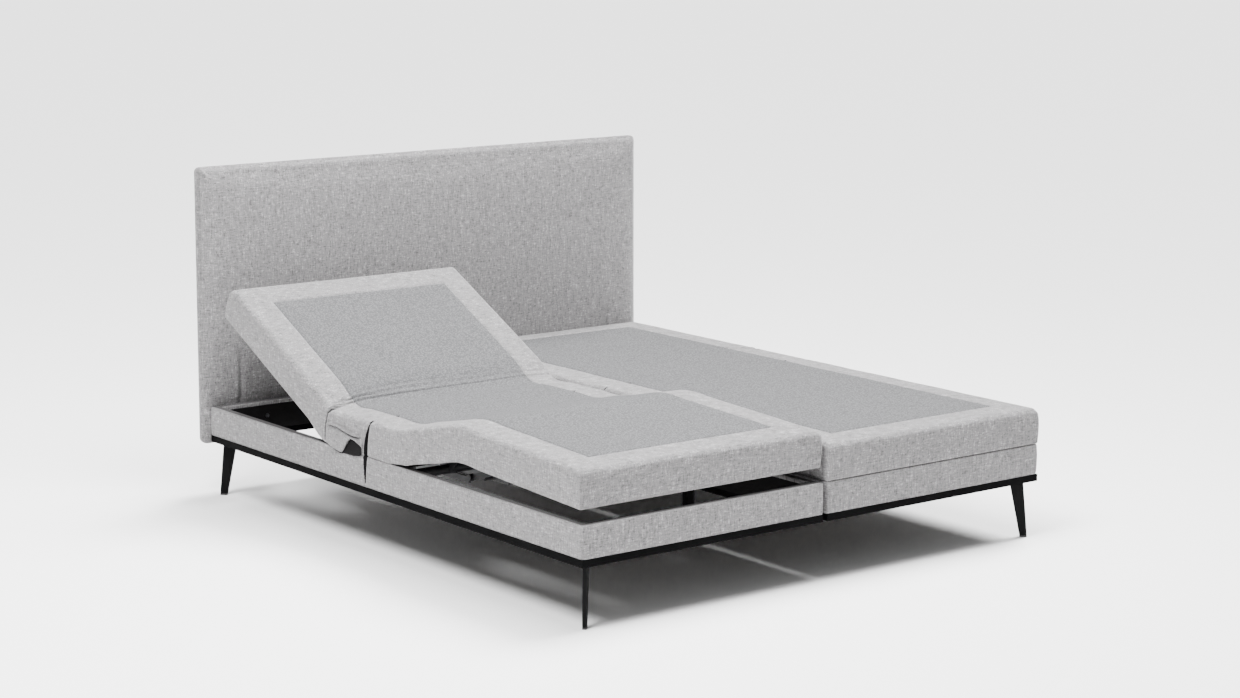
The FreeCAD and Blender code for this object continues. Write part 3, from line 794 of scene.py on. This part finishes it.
def cover_of(name, points, faces, sides, sign, flat, seam_y, foot_free, butt_end, fold=None):
    """Cover of one lying section, with hard edges round the faces that butt on the next cover."""
    chosen = pad_materials(flat, faces, sides, seam_y, foot_free, butt_end)
    caps = [n for n, side in enumerate(sides) if side in ((1, CUT_END), (1, butt_end))]
    return piece_of(name, points, wound(faces, sign), (CLOTH, GRIP, BLACK_LINING_AND_SHADE), chosen, caps, fold)


def declare(piece, *nodes):
    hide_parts(*nodes)


BACK_SEAM = HEAD - SEAM
CALF_SEAM = FOOT + SEAM
END_STEPS = np.array([*EDGE_STEPS, *BOARD_STEPS])
back_ys = in_order(np.concatenate([
    lines((0.040, 0.052, 0.003), (0.052, 0.13, 0.010), (0.13, 0.23, 0.008), (0.23, 0.36, 0.0026),
          (0.36, 0.46, 0.008), (0.46, BACK_SEAM - 0.008, 0.019)),
    BACK_SEAM + SEAM_STEPS, lines((BACK_SEAM + 0.008, HEAD - 0.0185, 0.018)), HEAD - END_STEPS]))
front_ys = in_order(np.concatenate([
    FOOT + END_STEPS, lines((FOOT + 0.0185, CALF_SEAM - 0.008, 0.018)), CALF_SEAM + SEAM_STEPS,
    lines((CALF_SEAM + 0.008, -0.60, 0.019), (-0.60, -0.36, 0.010), (-0.36, THIGH_END, 0.015),
          (THIGH_END, -0.24, 0.012), (-0.24, -0.01, 0.009), (-0.01, 0.028, 0.008), (0.028, 0.040, 0.003))]))

back_flat = lay_pad(back_ys, False)
front_flat = lay_pad(front_ys, True)

FOLD_DEPTHS = {"left": 1.0, "right": 0.35}

for side, sign in SIDES:
    back_angle = math.radians(RAISED[side][0])
    thigh_angle = -math.radians(RAISED[side][1])
    fold_angle = -CALF_PER_THIGH * thigh_angle

    points, flat, keys, faces, sides = back_flat
    points = soften_pad(points.copy(), flat, back_ys, False, BACK_SEAM)
    points = hem_at_folds(points, flat)
    points = open_slit(points, flat, back_ys[0], 1)
    points, shade = hip_folds(points, flat, FOLD_DEPTHS[side])
    start, end = blend_ends(HIP, back_angle, HIP_BLEND)
    raised = bent(placed(sign, points), HIP, back_angle, start, end)
    cover = cover_of(side + "_back_cover", raised, faces, sides, sign, flat, BACK_SEAM, False, 0, shade)
    declare(cover, side + "_back_pad", side + "_seat_pad")
    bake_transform(cover)

    points, flat, keys, faces, sides = front_flat
    points = soften_pad(points.copy(), flat, front_ys, True, CALF_SEAM)
    points = hem_at_folds(points, flat)
    points = open_slit(points, flat, front_ys[-1], -1)
    points = placed(sign, points)
    row = int(np.argmin(np.abs(front_ys - THIGH_END)))
    calf_part, thigh_part = cap_split(points, faces, sides, keys, row)

    points, faces, sides, used = thigh_part
    start, end = blend_ends(THIGH, thigh_angle, THIGH_BLEND)
    raised = bent(points, THIGH, thigh_angle, start, end)
    cover = cover_of(side + "_thigh_cover", raised, faces, sides, sign, flat[used], CALF_SEAM, True, 1)
    declare(cover, side + "_thigh_pad", side + "_seat_pad")
    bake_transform(cover)

    points, faces, sides, used = calf_part
    start, end = blend_ends(KNEE, fold_angle, KNEE_BLEND)
    raised = turned(bent(points, KNEE, fold_angle, start, end), THIGH, thigh_angle)
    start, end = turned(np.array([start, end]), THIGH, thigh_angle)
    cover = cover_of(side + "_calf_cover", raised, faces, sides, sign, flat[used], CALF_SEAM, True, None)
    declare(cover, side + "_calf_pad", side + "_thigh_pad")
    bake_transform(cover)


# ---------------------------------------------------------------- lower box covers

QUARTER_STEPS = 6


def ring_path(inset, radii, along_s, along_y):
    """Points round one box at a distance in from its outside, the same count for every inset."""
    s0, s1 = inset, WIDE - inset
    y0, y1 = RAIL_LOW[1] + inset, RAIL_HIGH[1] - inset
    path = []

    def corner(cx, cy, radius, first):
        for n in range(QUARTER_STEPS + 1):
            turn = math.radians(first + 90 * n / QUARTER_STEPS)
            path.append((cx + radius * math.cos(turn), cy + radius * math.sin(turn)))

    inner_foot, outer_foot, outer_head, inner_head = radii
    corner(s0 + inner_foot, y0 + inner_foot, inner_foot, 180)
    path.extend((s0 + inner_foot + (s1 - outer_foot - s0 - inner_foot) * share, y0) for share in along_s)
    corner(s1 - outer_foot, y0 + outer_foot, outer_foot, 270)
    path.extend((s1, y) for y in along_y)
    corner(s1 - outer_head, y1 - outer_head, outer_head, 0)
    path.extend((s1 - outer_head + (s0 + inner_head - s1 + outer_head) * share, y1) for share in along_s)
    corner(s0 + inner_head, y1 - inner_head, inner_head, 90)
    path.extend((s0, y) for y in along_y[::-1])
    return np.array(path)


RAIL_FOOT, RAIL_HEAD = RAIL_LOW[1], RAIL_HIGH[1]
RAIL_UNDER, RAIL_TOP = RAIL_LOW[2], RAIL_HIGH[2]
SLIT_DEPTH = 0.015
EDGE_RAIL = 0.005
EDGE_INNER = 0.003
LINING_TOP = 0.012
# Slots: cloth; black lining, also painted shade in the slit; painted shade on the rail tops.
OUTSIDE, LINED_AND_SLIT_SHADE, RAIL_TOP_SHADE_FACE = 0, 1, 2
box_y = lines((RAIL_FOOT + 0.045, -0.02, 0.03), (-0.02, 0.022, 0.006), (0.022, 0.076, 0.0018),
              (0.076, 0.10, 0.006), (0.10, RAIL_HEAD - 0.045, 0.03))
box_s = [n / 32 for n in range(1, 32)]

# Section of a covered rail, as (distance in from the outside, height, lined).
skin_zs = lines((RAIL_UNDER, RAIL_UNDER + 0.006, 0.003), (RAIL_UNDER + 0.006, RAIL_TOP - EDGE_RAIL, 0.0066))
profile = [(0.0, z, False) for z in skin_zs]
for n in range(1, QUARTER_STEPS + 1):
    turn = math.radians(90 * n / QUARTER_STEPS)
    profile.append((EDGE_RAIL * (1 - math.cos(turn)), RAIL_TOP - EDGE_RAIL * (1 - math.sin(turn)), False))
for share in (0.45, 0.8):
    profile.append((EDGE_RAIL + (RAIL - EDGE_INNER - EDGE_RAIL) * share, RAIL_TOP, False))
bevel = 0.3 * EDGE_INNER
profile += [(RAIL - EDGE_INNER, RAIL_TOP, False), (RAIL - bevel, RAIL_TOP - bevel, False),
            (RAIL, RAIL_TOP - EDGE_INNER, False), (RAIL, RAIL_TOP - LINING_TOP, True),
            (RAIL, (RAIL_TOP + RAIL_UNDER) / 2, True), (RAIL, RAIL_UNDER, True), (RAIL / 2, RAIL_UNDER, True)]

outer_path = ring_path(0.0, (0.004, 0.012, 0.006, 0.004), box_s, box_y)
inner_path = ring_path(RAIL, (0.001,) * 4, box_s, box_y)


def lower_cover(side, sign):
    """Cloth wrapped round the four rails of one box, drawn in at the slit beside the hip, lined inside; the
    slit takes black lining and the rail tops grey, both as painted shade.
    """
    rows = []
    for inset, z, _ in profile:
        share = inset / RAIL
        level = outer_path * (1 - share) + inner_path * share
        rows.append(np.column_stack([level, np.full(len(level), z)]))
    count = len(outer_path)
    points = np.concatenate(rows)
    base = points.copy()
    inset = np.repeat([p[0] for p in profile], count)
    z = points[:, 2]
    skin = 1 - smooth(inset / 0.010)
    bulge = np.sin(math.pi * np.clip((z - RAIL_UNDER) / (RAIL_TOP - RAIL_UNDER), 0, 1)) ** 0.7
    outward = 0.0022 * bulge * skin - 0.0016 * (1 - smooth((z - RAIL_UNDER) / 0.006)) * skin
    outward += wobble(base, 9.0, 0.0010) * skin * bulge
    on_outer = base[:, 0] > WIDE - 0.02
    on_foot = base[:, 1] < RAIL_FOOT + 0.02
    points[:, 0] += outward * on_outer
    points[:, 1] -= outward * on_foot

    gap = np.abs(base[:, 1] - slit_line(z))
    width = slit_width(z)
    half = width / 2 + 1e-6
    beside = on_outer & (gap < 0.035)
    depth = np.where(gap < half, SLIT_DEPTH, 0.0) * beside * (inset < 0.02) * (width > 0.001)
    lip = 0.0030 * skin * bell(np.maximum(gap - half, 0), 0.004)
    lip *= beside * (gap >= half) * (width > 0.0005)
    points[:, 0] -= depth + lip

    faces = []
    chosen = []
    rows_count = len(profile)
    for r in range(rows_count):
        following = (r + 1) % rows_count
        for n in range(count):
            after = (n + 1) % count
            face = (r * count + n, r * count + after, following * count + after, following * count + n)
            faces.append(face)
            # Faces drawn into the slit take the black lining as painted shade, and the top faces the painted
            # rail-top shade.
            lined = profile[r][2] or (depth[list(face)] > 0.005).any()
            on_top = profile[r][1] == RAIL_TOP and profile[following][1] == RAIL_TOP
            chosen.append(LINED_AND_SLIT_SHADE if lined else RAIL_TOP_SHADE_FACE if on_top else OUTSIDE)
    materials = (CLOTH, BLACK_LINING_AND_SHADE, PAINTED_RAIL_TOP_SHADE)
    cover = piece_of(side + "_lower_cover", placed(sign, points), wound(faces, sign), materials, chosen)
    declare(cover, side + "_side_rail", side + "_inner_rail", side + "_foot_rail", side + "_head_rail")
    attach(cover, "base")


for side, sign in SIDES:
    lower_cover(side, sign)


# ---------------------------------------------------------------- hip gussets

def gusset_edges(y):
    """Lower edge, mouth floor and upper crease of the pouch beside the hip, at y."""
    low = np.interp(
        y,
        (0.064, 0.0650, 0.0675, 0.0745, 0.084, 0.095, 0.113, 0.122, 0.1315, 0.147, 0.163, 0.180, 0.196,
         0.217, 0.244, 0.261, 0.282),
        (0.302, 0.326, 0.332, 0.3425, 0.3460, 0.3485, 0.3505, 0.3485, 0.342, 0.325, 0.3085, 0.2955, 0.2955,
         0.2990, 0.306, 0.3125, 0.3225))
    floor = np.interp(y, (0.064, 0.070, 0.080, 0.113, 0.150, 0.180),
                      (0.316, 0.306, 0.300, 0.2945, 0.2940, 0.2935))
    crease = np.interp(y, (0.064, 0.084, 0.105, 0.137, 0.169, 0.200, 0.254, 0.274, 0.282),
                       (0.3600, 0.3580, 0.3575, 0.3605, 0.3655, 0.3720, 0.3720, 0.3650, 0.3560))
    return low, floor, crease


def strip(name, side_sign, layers, material, fold=None):
    """Closed thin sheet from an outer and an inner layer of rows of points."""
    count_v, count_y = len(layers[0]), len(layers[0][0])
    layer = count_y * count_v
    points = np.concatenate([row for rows in layers for row in rows])
    faces = []
    for r in range(count_v - 1):
        for n in range(count_y - 1):
            a, b = r * count_y + n, r * count_y + n + 1
            faces.append((a, b, b + count_y, a + count_y))
            faces.append((layer + a + count_y, layer + b + count_y, layer + b, layer + a))
    rim = list(range(count_y)) + [r * count_y + count_y - 1 for r in range(1, count_v)]
    rim += [(count_v - 1) * count_y + n for n in range(count_y - 2, -1, -1)]
    rim += [r * count_y for r in range(count_v - 2, 0, -1)]
    for a, b in zip(rim, rim[1:] + rim[:1]):
        faces.append((b, a, layer + a, layer + b))
    points[:, 0] += wobble(points, 30.0, 0.0006)
    points = placed(side_sign, points)
    return piece_of(name, points, wound(faces, -side_sign), (material,), [0] * len(faces), fold=fold)


POUCH_FOOT, POUCH_HEAD = 0.064, 0.2745
SHADE_SHEET_FOOT, SHADE_SHEET_HEAD = 0.0645, 0.262
POUCH_THICK = 0.0016
MOUTH_HEAD = 0.178


def gusset(side, sign):
    """Pleated pouch that bridges the lower box and the seat beside the hip, with painted shade in the groove
    under its upper fold, and below it a black sheet as painted shade in its mouth and a painted shadow line
    under its lower edge.
    """
    ys = np.concatenate([np.linspace(POUCH_FOOT, 0.076, 12), np.linspace(0.078, POUCH_HEAD, 82)])
    low, floor, crease = gusset_edges(ys)
    mouth = np.clip((low - floor) / 0.04, 0, 1)
    ends = smooth((ys - POUCH_FOOT) / 0.012) * smooth((POUCH_HEAD - ys) / 0.020)
    heights = [low + (crease - 0.005 - low) * share for share in np.linspace(0, 1, 18)]
    heights += [crease + rise for rise in np.linspace(-0.0036, 0.0170, 16)]
    layers = []
    shade = []
    for thick in (0.0, -POUCH_THICK):
        rows = []
        for z in heights:
            share = np.clip((z - low) / (crease - low), 0, 1)
            above = z - crease
            swell = 0.0085 * np.sin(math.pi * (share * 0.90 + 0.08)) ** 0.8
            lip = 0.0070 * mouth * (1 - share) ** 1.2
            fold = 0.0095 * bell(above - 0.0050, 0.0042)
            groove = 0.0050 * bell(above + 0.0006, 0.0022)
            tail = smooth((above - 0.006) / 0.011)
            relief = (swell + lip) * (1 - smooth(above / 0.004)) + fold - groove
            out = 0.0030 + relief * ends - 0.0042 * tail + thick
            rows.append(np.column_stack([WIDE + out, ys, z]))
            dark = bell(above + 0.0004, 0.0020)
            shade.append(dark * ends * (0.55 + 0.35 * smooth((ys - 0.09) / 0.05)))
        layers.append(rows)
    piece = strip(side + "_hip_gusset", sign, layers, CLOTH, np.concatenate(shade))
    declare(piece, "hip_gussets")
    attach(piece, "base")

    # Black sheet: painted shade inside the pouch's mouth, and past the mouth a painted shadow line just below
    # its lower edge.
    ys = np.linspace(SHADE_SHEET_FOOT, SHADE_SHEET_HEAD, 88)
    low, floor, _ = gusset_edges(ys)
    floor = np.where(ys > MOUTH_HEAD, low - 0.0046 * smooth((0.275 - ys) / 0.03), floor)
    layers = [[np.column_stack([np.full(len(ys), WIDE + out), ys, floor + (low + 0.004 - floor) * share])
               for share in np.linspace(0, 1, 8)] for out in (0.0028, 0.0014)]
    mouth = strip(side + "_gusset_shade_sheet", sign, layers, BLACK_LINING_AND_SHADE)
    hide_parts("hip_gussets")
    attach(mouth, "base")


for side, sign in SIDES:
    gusset(side, sign)


# ---------------------------------------------------------------- headboard

TUCK = 0.784
TUCK_TOP = 0.44
PIPING = 0.0122
BACK_RIM = 0.030


def headboard():
    """Padded panel with a tuck down each side of its front, a seam on each edge, and a cloth back."""
    _, y0, z0 = HEAD_LOW
    x1, y1, z1 = HEAD_HIGH
    near_edge = np.array([*EDGE_STEPS, 0.0215, 0.0222])
    beside_tuck = np.array([-0.02, -0.014, -0.009, -0.0045, 0.0, 0.0045, 0.009, 0.014, 0.0185, 0.023, 0.028,
                            0.04, 0.06, 0.08, 0.1])
    x_half = np.concatenate([x1 - near_edge, TUCK + beside_tuck, np.linspace(0.02, TUCK - 0.03, 36)])
    xs = in_order([*x_half, *-x_half, 0.0])
    zs = in_order([*(z0 + near_edge), *np.linspace(z0 + 0.04, z1 - 0.04, 44), *(z1 - near_edge)])
    ys = np.array([*(y0 + step for step in EDGE_STEPS), *(y1 - step for step in EDGE_STEPS[::-1])])
    flat, keys, faces, sides = grid_box(xs, ys, zs)
    points = round_off(flat, np.array([-x1, y0, z0]), HEAD_HIGH, np.full(len(flat), EDGE_TOP))
    back = keys[:, 1] == len(ys) - 1
    pocket = back & (np.abs(flat[:, 0]) < CORE_HIGH[0] + HAIR)
    pocket &= (flat[:, 2] > CORE_LOW[2] - HAIR) & (flat[:, 2] < CORE_HIGH[2] + HAIR)
    points[pocket, 1] = CORE_LOW[1] - 0.0003
    resting = (flat[:, 2] < RAIL_TOP) & (np.abs(flat[:, 0]) < HALF)
    on_rim = (keys[:, 0] == 0) | (keys[:, 0] == len(xs) - 1) | (keys[:, 2] == 0) | (keys[:, 2] == len(zs) - 1)
    held = back | (resting & (keys[:, 1] == 0)) | (on_rim & (keys[:, 1] >= 4))
    points = puff(points, faces, held, PAD_PRESSURE, HEADBOARD_CAP)
    from_side = x1 - np.abs(flat[:, 0])
    from_edge = np.minimum(from_side, np.minimum(z1 - flat[:, 2], np.maximum(flat[:, 2] - RAIL_TOP, 0)))
    front = 1 - smooth((flat[:, 1] - y0) / 0.02)
    points[:, 1] -= front * 0.0035 * smooth(from_edge / 0.20)
    points[:, 1] += wobble(flat, 5.0, 0.0016) * front * smooth(from_edge / 0.05)
    off_tuck = np.abs(flat[:, 0]) - TUCK
    tucked = (1 - smooth((flat[:, 2] - TUCK_TOP) / 0.08)) * smooth((flat[:, 2] - RAIL_TOP) / 0.01)
    fold = bell(off_tuck, 0.0085)
    beside = bell(off_tuck - 0.0185, 0.0060)
    points[:, 1] += front * tucked * (0.0075 * fold - 0.0030 * beside)
    seam = bell(flat[:, 1] - y0 - PIPING, 0.002) * (from_side < 1e-6)
    points[:, 0] -= np.sign(flat[:, 0]) * 0.0040 * seam
    chosen = [int(side == (1, 1) and all(pocket[v] for v in face)) for face, side in zip(faces, sides)]
    cover = piece_of("headboard_cover", points, faces, (CLOTH, BLACK_LINING_AND_SHADE), chosen)
    declare(cover, "headboard_padding")
    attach(cover, "base")

    sheet_x = x1 - BACK_RIM
    rows_z = np.linspace(z0 + 0.034, z1 - BACK_RIM, 40)
    cols_x = np.linspace(-sheet_x, sheet_x, 74)
    points = []
    for z in rows_z:
        for x in cols_x:
            rim = min(sheet_x - abs(x), z - rows_z[0], rows_z[-1] - z)
            pull = 0.0005 * math.exp(-rim / 0.012) * math.sin(rim * 300)
            points.append((x, y1 + 0.0012 + pull + 0.0008 * noise.noise(Vector((x * 6, 0.0, z * 6))), z))
    width = len(cols_x)
    faces = [(r * width + c, (r + 1) * width + c, (r + 1) * width + c + 1, r * width + c + 1)
             for r in range(len(rows_z) - 1) for c in range(width - 1)]
    backing = piece_of("headboard_back_cloth", points, faces, (BLACK_LINING_AND_SHADE,), [0] * len(faces))
    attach(backing, "base")


headboard()


# ---------------------------------------------------------------- floor

FLOOR_START = 0.35
FLOOR_GROWTH = 1.31


def floor():
    """Round pale floor whose rings widen to the horizon."""
    rings, spokes = 24, 96
    points = [(0.0, 0.0, 0.0)]
    for r in range(1, rings + 1):
        reach = FLOOR_START * FLOOR_GROWTH ** r
        for n in range(spokes):
            turn = 2 * math.pi * n / spokes
            points.append((reach * math.cos(turn), reach * math.sin(turn), 0.0))
    faces = [(0, 1 + n, 1 + (n + 1) % spokes) for n in range(spokes)]
    for r in range(rings - 1):
        a, b = 1 + r * spokes, 1 + (r + 1) * spokes
        faces += [(a + n, b + n, b + (n + 1) % spokes, a + (n + 1) % spokes) for n in range(spokes)]
    paint = Finish("floor_paint", (0.92, 0.92, 0.92), 0.9, specular=0.1)
    piece = piece_of("floor", points, faces, (paint.material,), [0] * len(faces))


floor()
